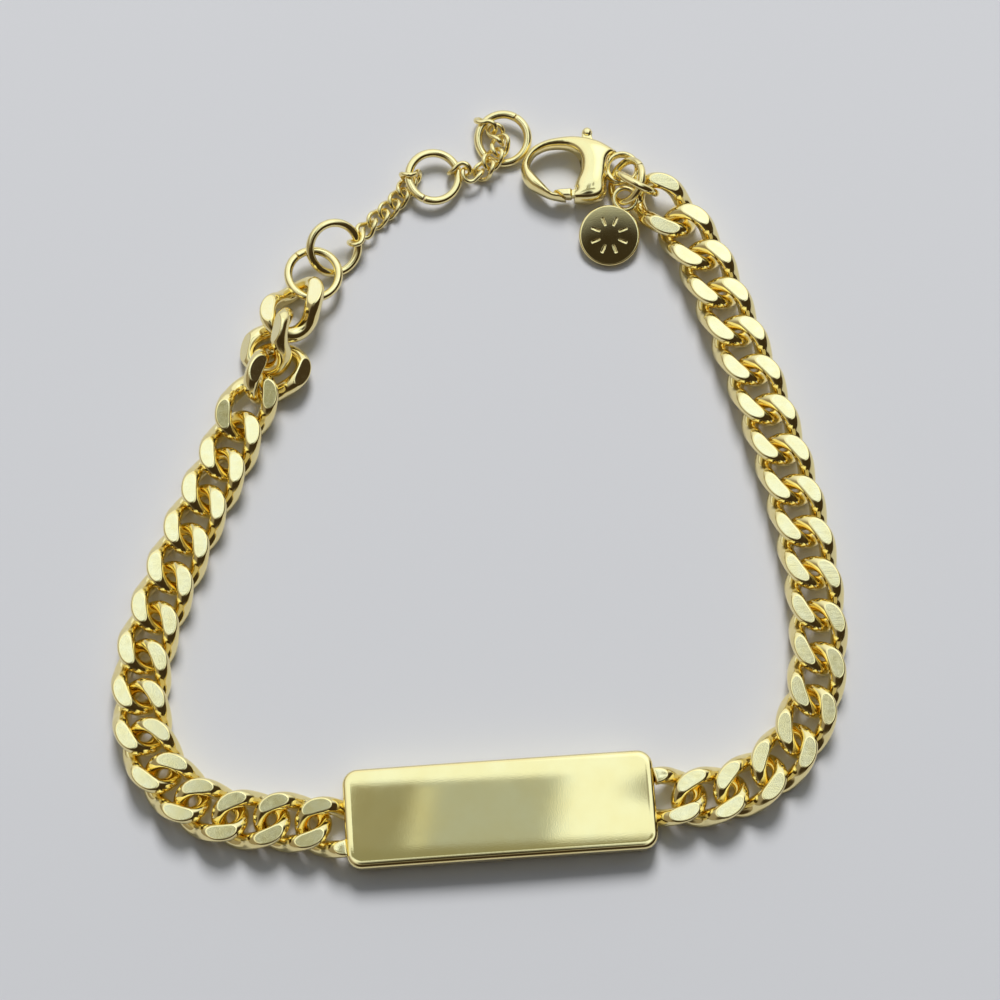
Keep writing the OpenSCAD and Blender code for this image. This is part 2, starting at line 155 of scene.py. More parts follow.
def lies_along(start, heading, route, beyond, height):
    """Lies of a chain's links: those on its level route, then those beyond it."""
    x, y = start
    lies = []
    for turn, step in route:
        middle = math.radians(heading + turn / 2)
        heading += turn
        x += step * math.cos(middle)
        y += step * math.sin(middle)
        lies.append((x, y, height, heading, 0, 0))
    return lies + list(beyond)


# Shapes

def link_path(angles, half_length, half_width, twist, skew):
    """Centreline of a curb link, its two ends twisted opposite ways."""
    t = np.radians(angles)
    c, s = np.cos(t), np.sin(t)
    y = half_width * s
    blunted = (c * c + TWIST_BLUNTING) / (1 + TWIST_BLUNTING)
    lean = np.radians(twist * c * blunted ** ((TWIST_POWER - 1) / 2))
    return np.stack([half_length * c + skew * y, y, -y * np.sin(lean)], 1)


def directions(path, closed):
    """Unit direction of a path at each of its points."""
    along = np.roll(path, -1, 0) - np.roll(path, 1, 0) if closed else np.gradient(path, axis=0)
    return along / np.linalg.norm(along, axis=1)[:, None]


def toward(angle):
    """Unit vector in the plane, at an angle in radians."""
    return np.array([math.cos(angle), math.sin(angle)])


def sweep(mesh, path, radii, sides, closed):
    """Adds a round wire along a path to a bmesh, and returns its vertices."""
    along = directions(path, closed)
    across = np.cross(along, UP)
    across /= np.linalg.norm(across, axis=1)[:, None]
    over = np.cross(across, along)
    angle = np.linspace(0, 2 * math.pi, sides, endpoint=False)
    turn = np.cos(angle)[None, :, None] * across[:, None] + np.sin(angle)[None, :, None] * over[:, None]
    points = path[:, None] + np.broadcast_to(radii, len(path))[:, None, None] * turn
    rows = [[mesh.verts.new(p) for p in row] for row in points]
    for i in range(len(rows) if closed else len(rows) - 1):
        here, there = rows[i], rows[(i + 1) % len(rows)]
        for k in range(sides):
            mesh.faces.new((here[k], here[(k + 1) % sides], there[(k + 1) % sides], there[k]))
    if not closed:
        mesh.faces.new(reversed(rows[0]))
        mesh.faces.new(rows[-1])
    return [v for row in rows for v in row]


def grind(mesh, limit, steps):
    """Grinds a wire flat above and below, leaving a softened edge; returns the flat faces."""
    flats = []
    drop = sum(depth for _, depth in steps)
    for sign in (1, -1):
        cut = bmesh.ops.bisect_plane(
            mesh, geom=mesh.verts[:] + mesh.edges[:] + mesh.faces[:], dist=1e-5,
            plane_co=(0, 0, sign * (limit - drop)), plane_no=(0, 0, sign), clear_outer=True)
        edges = [e for e in cut["geom_cut"] if isinstance(e, bmesh.types.BMEdge) and e.is_boundary]
        caps = bmesh.ops.edgeloop_fill(mesh, edges=edges)["faces"]
        for cap in caps:
            if cap.normal.z * sign < 0:
                cap.normal_flip()
        flats += [round_rim(mesh, cap, sign, steps) for cap in caps]
    return flats


def round_rim(mesh, cap, sign, steps):
    """Replaces a flat face by rings that step in and up from its edge; returns the face inside them."""
    outer = [loop.vert for loop in cap.loops]
    edge = np.array([vert.co[:2] for vert in outer])
    height = outer[0].co.z
    centre = np.array(cap.calc_center_median_weighted()[:2])
    mesh.faces.remove(cap)
    reach = np.linspace(1, 0, 60)
    points = centre + reach[:, None, None] * (edge - centre)
    side = np.roll(edge, -1, 0) - edge
    along = ((points[:, :, None] - edge) * side).sum(-1) / (side ** 2).sum(-1)
    near = edge + np.clip(along, 0, 1)[..., None] * side
    deep = np.maximum.accumulate(np.sqrt(((points[:, :, None] - near) ** 2).sum(-1)).min(-1), 0)
    inset = 0
    for width, depth in steps:
        inset += width
        height += sign * depth
        at = [np.interp(inset, deep[:, k], reach) for k in range(len(edge))]
        ring = [mesh.verts.new((*(centre + t * (point - centre)), height)) for t, point in zip(at, edge)]
        for k in range(len(ring)):
            n = (k + 1) % len(ring)
            mesh.faces.new((outer[k], outer[n], ring[n], ring[k]))
        outer = ring
    return mesh.faces.new(outer)


def move(mesh, lie):
    """Moves all of a bmesh to a lie."""
    placed = put([v.co for v in mesh.verts], lie)
    for vert, place in zip(mesh.verts, placed):
        vert.co = place


def face_outward(mesh):
    """Turns the faces of every closed shell outward."""
    bmesh.ops.recalc_face_normals(mesh, faces=mesh.faces[:])
    left = set(mesh.faces)
    while left:
        shell, queue, volume = [], [left.pop()], 0
        while queue:
            face = queue.pop()
            shell.append(face)
            first, *others = (vert.co for vert in face.verts)
            volume += sum(first.dot(a.cross(b)) for a, b in zip(others, others[1:]))
            beside = {other for edge in face.edges for other in edge.link_faces} & left
            left -= beside
            queue += beside
        if volume < 0:
            bmesh.ops.reverse_faces(mesh, faces=shell)


def as_data(name, mesh):
    """Mesh data made from a bmesh, which is freed."""
    data = bpy.data.meshes.new(name)
    mesh.to_mesh(data)
    mesh.free()
    return data


def add_object(name, data):
    """A new object in the scene."""
    thing = bpy.data.objects.new(name, data)
    bpy.context.scene.collection.objects.link(thing)
    return thing


def finish_piece(name, mesh, finishes, nodes, body=BRACELET, normals=None):
    """Turns a bmesh in millimetres into a piece that rides on a body and stands for its nodes.

    normals gives the direction each vertex is shaded in; without it, large faces set the shading.
    """
    if normals is None:
        face_outward(mesh)
    bmesh.ops.scale(mesh, vec=(MM, MM, MM), verts=mesh.verts[:])
    data = as_data(f"polished_{name}", mesh)
    data.shade_smooth()
    for finish in finishes:
        data.materials.append(Looks.get(finish))
    piece = add_object(f"polished_{name}", data)
    if normals is not None:
        data.normals_split_custom_set_from_vertices(normals)
    else:
        modifier = piece.modifiers.new("Even shading", "WEIGHTED_NORMAL")
        modifier.weight = 60
        modifier.keep_sharp = True
    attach(piece, body)
    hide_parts(*nodes)


# Materials

class NodeTree:
    """A node tree, and the nodes that both the finishes and the room are made of."""

    def __init__(self, tree):
        self.nodes, self.links = tree.nodes, tree.links

    def span(self, value, low, high, to_low=0, to_high=1, smooth=False):
        """A value spread from one range to another."""
        node = self.nodes.new("ShaderNodeMapRange")
        node.interpolation_type = "SMOOTHSTEP" if smooth else "LINEAR"
        for key, number in zip(("From Min", "From Max", "To Min", "To Max"), (low, high, to_low, to_high)):
            node.inputs[key].default_value = number
        self.links.new(value, node.inputs["Value"])
        return node.outputs["Result"]

    def blend(self, factor, first, second):
        """A colour between two others, of which the first may come from another node."""
        node = self.nodes.new("ShaderNodeMix")
        node.data_type = "RGBA"
        if isinstance(first, tuple):
            node.inputs["A"].default_value = (*first, 1)
        else:
            self.links.new(first, node.inputs["A"])
        node.inputs["B"].default_value = (*second, 1)
        self.links.new(factor, node.inputs["Factor"])
        return node.outputs["Result"]

    def maths(self, operation, first, second):
        """Two values added, multiplied and so on."""
        node = self.nodes.new("ShaderNodeMath")
        node.operation = operation
        self.links.new(first, node.inputs[0])
        self.links.new(second, node.inputs[1])
        return node.outputs["Value"]


class Shader(NodeTree):
    """A metal material and the nodes that its finishes are made of."""

    def __init__(self, name):
        self.material = bpy.data.materials.new(name)
        self.material.use_nodes = True
        super().__init__(self.material.node_tree)
        self.metal = self.nodes["Principled BSDF"]
        self.metal.inputs["Metallic"].default_value = 1.0
        self.place = self.nodes.new("ShaderNodeTexCoord").outputs["Object"]

    def stretched(self, scale, turn):
        """The place on the piece, stretched for marks that run one way."""
        mapping = self.nodes.new("ShaderNodeMapping")
        mapping.inputs["Scale"].default_value = scale
        mapping.inputs["Rotation"].default_value = (0, 0, math.radians(turn))
        self.links.new(self.place, mapping.inputs["Vector"])
        return mapping.outputs["Vector"]

    def noise(self, size, detail, place=None):
        """Noise whose blotches are about size millimetres across."""
        node = self.nodes.new("ShaderNodeTexNoise")
        node.inputs["Scale"].default_value = 1.0 / (size * MM)
        node.inputs["Detail"].default_value = detail
        self.links.new(place or self.place, node.inputs["Vector"])
        return node.outputs["Fac"]

    def bump(self, height, strength, distance, under=None):
        """Relief of the surface; distance is in millimetres."""
        node = self.nodes.new("ShaderNodeBump")
        node.inputs["Strength"].default_value = strength
        node.inputs["Distance"].default_value = distance * MM
        self.links.new(height, node.inputs["Height"])
        if under is not None:
            self.links.new(under, node.inputs["Normal"])
        return node.outputs["Normal"]

    def wear(self, socket, source):
        """Lets a node set one of the metal's sockets."""
        self.links.new(source, self.metal.inputs[socket])


def gold(name, pale, deep, rough, cloud, scratch, grain, turn=0.0):
    """Gold plating: colour clouds, polish that varies, hairline marks and a fine grain."""
    shader = Shader(name)
    clouds = shader.noise(cloud, 4.0)
    shader.wear("Base Color", shader.blend(shader.span(clouds, 0.3, 0.7), pale, deep))
    smears = shader.noise(cloud * 0.45, 5.0)
    shader.wear("Roughness", shader.span(smears, 0.3, 0.7, rough[0], rough[1]))
    hairs = shader.noise(0.35, 4.0, shader.stretched((0.06, 1.0, 1.0), turn))
    lines = shader.bump(shader.span(hairs, 0.35, 0.65), scratch, 0.012)
    pits = shader.bump(shader.noise(0.12, 2.0), grain, 0.01, lines)
    shader.wear("Normal", pits)
    return shader.material


class Looks:
    """Every finish of the bracelet, made once."""
    made = {}

    @classmethod
    def get(cls, name):
        if not cls.made:
            colours = bpy.context.scene.bracelet_finish
            pale, deep = tuple(colours.pale_gold), tuple(colours.deep_gold)
            ground = tuple(colours.flat_highlight_gold)
            # Lighter and deeper colour, roughness range, size of clouds, scratches, grain and their direction
            cls.made = {
                "wire": gold("Polished gold wire", pale, deep, (0.05, 0.13), 1.6, 0.03, 0.02),
                # Painted highlight: the flats take a paler, whiter gold than the wire, so that their bright
                # reflections wash out towards white
                "flat": gold("Highlight-paled gold flat", ground, pale, (0.07, 0.13), 1.1, 0.08, 0.2, 30),
                "plate": gold("Satin gold plate", pale, deep, (0.03, 0.055), 4.0, 0.002, 0.07, 4),
                "casting": gold("Polished gold casting", pale, deep, (0.05, 0.13), 1.8, 0.03, 0.02),
                "ring": gold("Drawn gold wire", pale, deep, (0.06, 0.15), 1.2, 0.05, 0.03),
                "fine": gold("Fine gold wire", pale, deep, (0.08, 0.17), 0.8, 0.05, 0.03),
                "tag": gold("Stamped gold disc", pale, deep, (0.03, 0.07), 1.8, 0.012, 0.1, 60),
            }
        return cls.made[name]


# Sizes and colours that a user would change

class BraceletChain(bpy.types.PropertyGroup):
    link_wire: FloatProperty(
        name="Link wire", description="Wire thickness of a main link along its sides",
        default=0.00172, unit="LENGTH")
    link_end_wire: FloatProperty(
        name="Link end wire", description="Wire thickness of a link at its ends",
        default=0.00154, unit="LENGTH")
    half_length: FloatProperty(
        name="Half length", description="Half length of a link, to the wire's middle",
        default=0.00309, unit="LENGTH")
    half_width: FloatProperty(
        name="Half width", description="Half width of a link, to the wire's middle",
        default=0.00203, unit="LENGTH")
    twist: FloatProperty(
        name="Twist", description="Angle by which each end of a main link is twisted",
        default=math.radians(59), subtype="ANGLE")
    thickness: FloatProperty(
        name="Thickness", description="Thickness of the chain between its ground flats",
        default=0.003, unit="LENGTH")
    rim: FloatProperty(
        name="Softened rim", description="Width of the softened edge round a ground flat",
        default=0.0002, unit="LENGTH")
    stations: IntProperty(name="Stations", description="Sections round one main link", default=160)
    sides: IntProperty(name="Sides", description="Sides of a main link's wire", default=36)


class BraceletPlate(bpy.types.PropertyGroup):
    length: FloatProperty(name="Length", description="Length of the plate", default=0.030, unit="LENGTH")
    width: FloatProperty(name="Width", description="Width of the plate", default=0.0096, unit="LENGTH")
    thickness: FloatProperty(
        name="Thickness", description="Thickness of the plate", default=0.0021, unit="LENGTH")
    corner: FloatProperty(
        name="Corner", description="Radius of the plate's corners", default=0.0015, unit="LENGTH")
    edge: FloatProperty(
        name="Edge", description="Radius of the plate's worn edges", default=0.00045, unit="LENGTH")
    bow: FloatProperty(name="Bow", description="Drop of the plate's two ends", default=0.0002, unit="LENGTH")
    crown: FloatProperty(
        name="Crown", description="Drop of the plate's two long edges", default=0.00012, unit="LENGTH")


class BraceletFittings(bpy.types.PropertyGroup):
    ring_diameter: FloatProperty(
        name="Ring", description="Outer diameter of the extension rings", default=0.00598, unit="LENGTH")
    ring_wire: FloatProperty(
        name="Ring wire", description="Wire thickness of the extension rings", default=0.00086, unit="LENGTH")
    jump_diameter: FloatProperty(
        name="Jump ring", description="Outer diameter of the jump rings", default=0.00515, unit="LENGTH")
    jump_wire: FloatProperty(
        name="Jump ring wire", description="Wire thickness of the jump rings", default=0.00077, unit="LENGTH")
    fine_wire: FloatProperty(
        name="Fine wire", description="Wire thickness of the fine chain", default=0.00049, unit="LENGTH")
    tag_diameter: FloatProperty(
        name="Tag", description="Diameter of the round tag", default=0.0062, unit="LENGTH")
    tag_thickness: FloatProperty(
        name="Tag thickness", description="Thickness of the round tag", default=0.00065, unit="LENGTH")
    clasp_thickness: FloatProperty(
        name="Clasp", description="Thickness of the clasp at its middle", default=0.0029, unit="LENGTH")


class BraceletFinish(bpy.types.PropertyGroup):
    pale_gold: FloatVectorProperty(
        name="Pale gold", description="Lighter colour of the plating",
        default=(0.95, 0.83, 0.43), size=3, subtype="COLOR")
    deep_gold: FloatVectorProperty(
        name="Deep gold", description="Deeper colour of the plating",
        default=(0.93, 0.78, 0.36), size=3, subtype="COLOR")
    # Painted highlight: a paler gold for the ground flats, standing in for their bright reflections washing
    # out towards white
    flat_highlight_gold: FloatVectorProperty(
        name="Highlight-paled gold", description="Palest colour, on the ground flats",
        default=(0.955, 0.87, 0.53), size=3, subtype="COLOR")
    surface: FloatVectorProperty(
        name="Surface", description="Colour of the surface the bracelet lies on",
        default=(0.60, 0.60, 0.618), size=3, subtype="COLOR")


# Main chain

def chain_path(chain, angles, skew):
    """Centreline of a main link, in millimetres."""
    return link_path(angles, chain.half_length / MM, chain.half_width / MM, math.degrees(chain.twist), skew)


def link_mesh(chain, skew):
    """One main link in its own frame, and its ground flats."""
    mesh = bmesh.new()
    angles = np.linspace(0, 360, chain.stations, endpoint=False)
    sweep(mesh, chain_path(chain, angles, skew), link_radii(chain, angles), chain.sides, True)
    face_outward(mesh)
    for face in grind(mesh, chain.thickness / MM / 2, rim_steps(chain)):
        face.material_index = 1
    return mesh


def link_normals(mesh, chain, skew):
    """Outward direction at each vertex of a link: round the wire, then turning upright over a flat's rim."""
    path = chain_path(chain, np.linspace(0, 360, 1440, endpoint=False), skew)
    along = directions(path, True)
    points = np.array([vert.co for vert in mesh.verts])
    nearest = np.array([((path - point) ** 2).sum(1).argmin() for point in points])
    out = points - path[nearest]
    out -= (out * along[nearest]).sum(1)[:, None] * along[nearest]
    out /= np.linalg.norm(out, axis=1)[:, None]
    widths, depths = (np.cumsum([0, *values]) for values in zip(*rim_steps(chain)))
    heights = chain.thickness / MM / 2 - depths[-1] + depths
    upright = np.interp(np.abs(points[:, 2]), heights + 1e-5, widths / widths[-1])[:, None]
    out = out * (1 - upright) + np.sign(points[:, 2])[:, None] * UP * upright
    return out / np.linalg.norm(out, axis=1)[:, None]


def link_radii(chain, angles):
    """Wire radius round a main link, thinner at its two ends, in millimetres."""
    side, end = chain.link_wire / MM / 2, chain.link_end_wire / MM / 2
    return side + (end - side) * np.abs(np.cos(np.radians(angles))) ** 4


def rim_steps(chain):
    """Width and rise, in millimetres, of the bands that round a flat's edge."""
    rim = chain.rim / MM
    return [(width * rim, rise * rim) for width, rise in RIM_BANDS]


class BRACELET_OT_main_links(bpy.types.Operator):
    """Makes the main curb links of both sides"""
    bl_idname = "bracelet.main_links"
    bl_label = "Main links"

    def execute(self, context):
        chain = context.scene.bracelet_chain
        height = chain.thickness / MM / 2
        sides = (
            ("link_r", RIGHT_SKEW, lies_along(RIGHT_START, RIGHT_HEADING, RIGHT_ROUTE, RIGHT_END, height)),
            ("link_l", LEFT_SKEW, lies_along(LEFT_START, LEFT_HEADING, LEFT_ROUTE, LEFT_END, height)))
        for prefix, skew, lies in sides:
            shape = link_mesh(chain, skew)
            normals = link_normals(shape, chain, skew)
            for number, lie in enumerate(lies, 1):
                mesh = shape.copy()
                move(mesh, lie)
                node = f"{prefix}{number:02d}"
                finish_piece(node, mesh, ("wire", "flat"), [node],
                             normals=normals @ turn_matrix(*lie[3:]).T)
            shape.free()
        return {"FINISHED"}


# Name plate

def rounded_outline(half_x, half_y, radius):
    """Points round a rectangle with round corners, the same number whatever its size."""
    long_side, short_side = 60, 16
    quarter = np.radians(np.linspace(0, 90, 9))
    arcs = []
    for sx, sy, start in ((1, 1, 0), (-1, 1, 90), (-1, -1, 180), (1, -1, 270)):
        centre = np.array([sx * (half_x - radius), sy * (half_y - radius)])
        arcs.append([centre + radius * toward(a + math.radians(start)) for a in quarter])
    points = []
    for arc, following, count in zip(arcs, arcs[1:] + arcs[:1], (long_side, short_side) * 2):
        points += arc
        points += [arc[-1] + (following[0] - arc[-1]) * k / count for k in range(1, count)]
    return np.array(points)


def plate_mesh(plate):
    """The bowed and crowned plate with worn edges, in its own frame."""
    half_x, half_y = plate.length / MM / 2, plate.width / MM / 2
    corner, edge, thick = plate.corner / MM, plate.edge / MM, plate.thickness / MM
    top = bpy.context.scene.bracelet_chain.thickness / MM
    bow, crown = plate.bow / MM / half_x ** 2, plate.crown / MM / half_y ** 2

    def surface(xy, upper):
        drop = bow * xy[:, 0] ** 2
        return top - drop - crown * xy[:, 1] ** 2 if upper else top - thick - drop

    mesh = bmesh.new()
    rounding = np.radians(np.linspace(0, 90, 6))
    inner = np.linspace(edge, half_y, 14)[1:]
    upper = [(edge * (1 - math.cos(a)), edge * (1 - math.sin(a))) for a in rounding] + [(d, 0) for d in inner]
    rings = []
    for is_top, steps in ((False, upper[::-1]), (True, upper)):
        for inset, drop in steps:
            xy = rounded_outline(half_x - inset, half_y - inset, max(corner - inset, 1e-6))
            z = surface(xy, is_top) + (-drop if is_top else drop)
            rings.append([mesh.verts.new((x, y, h)) for (x, y), h in zip(xy, z)])
    for low, high in zip(rings, rings[1:]):
        for k in range(len(low)):
            n = (k + 1) % len(low)
            mesh.faces.new((low[k], low[n], high[n], high[k]))
    bmesh.ops.remove_doubles(mesh, verts=mesh.verts[:], dist=1e-3)
    return mesh


def half_link(mesh, chain, start, heading, skew):
    """Adds half a main link, its two open ends reaching into the plate."""
    part = bmesh.new()
    angles = np.linspace(-HALF_LINK_REACH, HALF_LINK_REACH, 110)
    sweep(part, chain_path(chain, angles, skew), link_radii(chain, angles), chain.sides, False)
    face_outward(part)
    for face in grind(part, chain.thickness / MM / 2, rim_steps(chain)):
        face.material_index = 2
    move(part, (start[0], start[1], chain.thickness / MM / 2, heading, 0, 0))
    for face in part.faces:
        face.material_index = max(face.material_index, 1)
    data = as_data("half link", part)
    mesh.from_mesh(data)
    bpy.data.meshes.remove(data)


class BRACELET_OT_name_plate(bpy.types.Operator):
    """Makes the name plate and the half link soldered to each end"""
    bl_idname = "bracelet.name_plate"
    bl_label = "Name plate"

    def execute(self, context):
        chain = context.scene.bracelet_chain
        mesh = plate_mesh(context.scene.bracelet_plate)
        move(mesh, PLATE_LIE)
        half_link(mesh, chain, RIGHT_START, RIGHT_HEADING, RIGHT_SKEW)
        half_link(mesh, chain, LEFT_START, LEFT_HEADING, LEFT_SKEW)
        finish_piece("plate", mesh, ("plate", "wire", "flat"), ["id_plate"])
        return {"FINISHED"}


# Rings

def ring_mesh(outer, wire, seam):
    """A bent wire ring whose two ends meet at a fine seam."""
    mesh = bmesh.new()
    radius = (outer - wire) / 2
    gap = SEAM_GAP / radius
    angles = np.concatenate([[gap], np.linspace(gap * 1.6, 2 * math.pi - gap * 1.6, 96), [2 * math.pi - gap]])
    radii = np.full(len(angles), wire / 2)
    radii[0] = radii[-1] = wire / 2 - SEAM_BEVEL
    angles = angles + math.radians(seam)
    path = np.stack([radius * np.cos(angles), radius * np.sin(angles), np.zeros_like(angles)], 1)
    sweep(mesh, path, radii, 20, False)
    return mesh


class BRACELET_OT_rings(bpy.types.Operator):
    """Makes the extension rings and the jump rings"""
    bl_idname = "bracelet.rings"
    bl_label = "Rings"

    def execute(self, context):
        sizes = context.scene.bracelet_fittings
        kinds = (
            ("ring", sizes.ring_diameter, sizes.ring_wire, RING_LIES, RING_SEAMS),
            ("jump_ring", sizes.jump_diameter, sizes.jump_wire, JUMP_LIES, JUMP_SEAMS))
        for prefix, outer, wire, lies, seams in kinds:
            for number, (lie, seam) in enumerate(zip(lies, seams), 1):
                mesh = ring_mesh(outer / MM, wire / MM, seam)
                move(mesh, lie)
                node = f"{prefix}_{number}"
                finish_piece(node, mesh, ("ring",), [node])
        return {"FINISHED"}


# Fine chains

class BRACELET_OT_fine_chains(bpy.types.Operator):
    """Makes the two fine chains of the extension"""
    bl_idname = "bracelet.fine_chains"
    bl_label = "Fine chains"

    def execute(self, context):
        wire = context.scene.bracelet_fittings.fine_wire / MM
        angles = np.linspace(0, 360, 40, endpoint=False)
        path = link_path(angles, FINE_HALF_LENGTH, FINE_HALF_WIDTH, FINE_TWIST, 0)
        for number, lies in enumerate(FINE_LIES, 1):
            mesh = bmesh.new()
            for lie in lies:
                verts = sweep(mesh, path, wire / 2, 12, True)
                for vert, place in zip(verts, put([v.co for v in verts], lie)):
                    vert.co = place
            node = f"fine_chain_{number}"
            finish_piece(node, mesh, ("fine",), [node])
        return {"FINISHED"}


# Tag

def tag_mesh(sizes):
    """The round tag with a ring of short pressed rays, and its wire loop."""
    mesh = bmesh.new()
    radius, half = sizes.tag_diameter / MM / 2, sizes.tag_thickness / MM / 2
    turns, face_rings, centre = 192, 58, 0.05
    edge, dome = 0.2, 0.045
    rim = radius - edge
    angles = np.linspace(0, 2 * math.pi, turns, endpoint=False)

    def ray_depth(r, a):
        """Depth of the eight pressed rays at a place on the tag's face."""
        start, end, half_width, depth, slope = 1.07, 1.93, 0.11, 0.1, 0.06
        spoke = round(a / (math.pi / 4)) * math.pi / 4
        along, across = r * math.cos(a - spoke), abs(r * math.sin(a - spoke))
        walls = (half_width - across, along - start, end - along)
        return depth * math.prod(min(1, max(0, wall / slope)) for wall in walls)

    face = [(r, half + dome * (1 - (r / rim) ** 2)) for r in np.linspace(centre, rim, face_rings)]
    side = [(rim + edge * math.sin(a), half - edge + edge * math.cos(a))
            for a in np.radians(np.linspace(15, 90, 6))]
    side += [(rim + edge * math.cos(a), -half + edge - edge * math.sin(a))
             for a in np.radians(np.linspace(0, 90, 7))]
    back = [(r, -half) for r in np.linspace(rim, centre, 8)[1:]]
    rows = [[mesh.verts.new((r * math.cos(a), r * math.sin(a), z - ray_depth(r, a))) for a in angles]
            for r, z in face]
    rows += [[mesh.verts.new((r * math.cos(a), r * math.sin(a), z)) for a in angles] for r, z in side + back]
    for outer, inner in zip(rows[1:], rows):
        for k in range(turns):
            n = (k + 1) % turns
            mesh.faces.new((inner[k], outer[k], outer[n], inner[n]))
    mesh.faces.new(reversed(rows[0]))
    mesh.faces.new(rows[-1])
    loop_middle, loop_radius, loop_wire = 4.05, 1.12, 0.52
    around = np.linspace(0, 2 * math.pi, 64, endpoint=False)
    loop = np.stack([loop_middle + loop_radius * np.cos(around), loop_radius * np.sin(around), 0 * around], 1)
    sweep(mesh, loop, loop_wire / 2, 16, True)
    return mesh


class BRACELET_OT_tag(bpy.types.Operator):
    """Makes the round tag"""
    bl_idname = "bracelet.tag"
    bl_label = "Tag"

    def execute(self, context):
        mesh = tag_mesh(context.scene.bracelet_fittings)
        move(mesh, TAG_LIE)
        finish_piece("tag", mesh, ("tag",), ["tag"])
        return {"FINISHED"}


# Clasp

def smooth_loop(points, steps):
    """A closed curve through the points."""
    p = np.array(points, float)
    a, b, c, d = (np.roll(p, k, 0) for k in (1, 0, -1, -2))
    rows = []
    for t in np.arange(steps) / steps:
        rows.append((2 * b + (c - a) * t + (2 * a - 5 * b + 4 * c - d) * t * t
                     + (3 * b - a - 3 * c + d) * t ** 3) / 2)
    return np.stack(rows, 1).reshape(-1, 2)


def spaced(loop, step):
    """The same closed loop with evenly spaced points."""
    closed = np.vstack([loop, loop[:1]])
    lengths = np.concatenate([[0], np.cumsum(np.linalg.norm(np.diff(closed, axis=0), axis=1))])
    count = max(12, int(round(lengths[-1] / step)))
    at = np.linspace(0, lengths[-1], count, endpoint=False)
    return np.stack([np.interp(at, lengths, closed[:, k]) for k in (0, 1)], 1)


def inside(points, loop):
    """Which points lie inside a closed loop."""
    x, y = points[:, 0][:, None], points[:, 1][:, None]
    ax, ay = loop[:, 0][None], loop[:, 1][None]
    bx, by = np.roll(loop[:, 0], -1)[None], np.roll(loop[:, 1], -1)[None]
    crosses = (ay > y) != (by > y)
    with np.errstate(divide="ignore", invalid="ignore"):
        hit = x < (bx - ax) * (y - ay) / (by - ay) + ax
    return (np.sum(crosses & hit, 1) % 2) == 1


def inflate(loops, height, rounding, step):
    """A closed solid over the area inside the first loop and outside the others, with round edges.

    height gives half the thickness at each point, and rounding is the radius of the edges.
    """
    loops = [spaced(np.asarray(loop, float), step) for loop in loops]
    border = np.vstack(loops)

    def depth(points):
        out = np.empty(len(points))
        for i in range(0, len(points), 2000):
            block = points[i:i + 2000]
            out[i:i + 2000] = np.sqrt(((block[:, None] - border[None]) ** 2).sum(2)).min(1)
        return out

    def kept(points):
        good = inside(points, loops[0])
        for hole in loops[1:]:
            good &= ~inside(points, hole)
        return good

    inner = []
    offsets = [rounding * (1 - math.cos(angle)) for angle in np.radians((14, 26, 38, 50, 62, 74))]
    for offset in offsets:
        for loop in loops:
            along = directions(loop, True)
            side = np.stack([-along[:, 1], along[:, 0]], 1)
            for sign in (1, -1):
                moved = loop + sign * offset * side
                good = kept(moved) & (np.abs(depth(moved) - offset) < 0.04 * step + 0.03 * offset)
                inner.append(moved[good])
    low, high = border.min(0), border.max(0)
    across, upward = (np.arange(low[k], high[k], step) for k in (0, 1))
    grid = np.stack(np.meshgrid(across, upward), -1).reshape(-1, 2)
    grid = grid[kept(grid)]
    inner.append(grid[depth(grid) > offsets[-1] + 0.5 * step])
    inner = np.vstack(inner)
    points = np.vstack([border, inner])
    edges = []
    start = 0
    for loop in loops:
        edges += [(start + k, start + (k + 1) % len(loop)) for k in range(len(loop))]
        start += len(loop)
    flat, _, triangles, *_ = geometry.delaunay_2d_cdt([Vector(p) for p in points], edges, [], 0, 1e-5)
    flat = np.array([tuple(v) for v in flat])
    triangles = np.array([t[:] for t in triangles])
    triangles = triangles[kept(flat[triangles].mean(1))]
    deep = depth(flat)
    rise = height(flat) * np.sqrt(np.clip(1 - (1 - np.minimum(deep / rounding, 1)) ** 2, 0, 1))
    rise[deep < 1e-4] = 0
    mesh = bmesh.new()
    used = np.unique(triangles)
    upper = {i: mesh.verts.new((*flat[i], rise[i])) for i in used}
    lower = {i: upper[i] if rise[i] == 0 else mesh.verts.new((*flat[i], -rise[i])) for i in used}
    for a, b, c in triangles:
        mesh.faces.new((upper[a], upper[b], upper[c]))
        if len({lower[a], lower[b], lower[c]} & {upper[a], upper[b], upper[c]}) < 3:
            mesh.faces.new((lower[a], lower[c], lower[b]))
    return mesh


def prism(outline, thickness):
    """A straight slab over an outline."""
    mesh = bmesh.new()
    base = [mesh.verts.new((x, y, -thickness / 2)) for x, y in outline]
    face = mesh.faces.new(base)
    top = bmesh.ops.extrude_face_region(mesh, geom=[face])["geom"]
    raised = [v for v in top if isinstance(v, bmesh.types.BMVert)]
    bmesh.ops.translate(mesh, verts=raised, vec=(0, 0, thickness))
    return mesh


def within_sweep(outline, reach):
    """An outline cut off by the circle that the lever's free end sweeps; it crosses that circle twice."""
    points = spaced(np.array(outline, float), 0.08) - PIVOT
    far = np.linalg.norm(points, axis=1)
    points, far = (np.roll(values, -far.argmin(), 0) for values in (points, far))
    first, last = np.flatnonzero(far > reach)[[0, -1]]
    start, end = (math.atan2(y, x) for x, y in points[[first, last]])
    turns = np.linspace(start, end, last - first + 1)
    points[first:last + 1] = reach * np.stack([np.cos(turns), np.sin(turns)], 1)
    return points + PIVOT


def circle(centre, radius):
    around = np.linspace(0, 2 * math.pi, 96, endpoint=False)
    return np.stack([centre[0] + radius * np.cos(around), centre[1] + radius * np.sin(around)], 1)


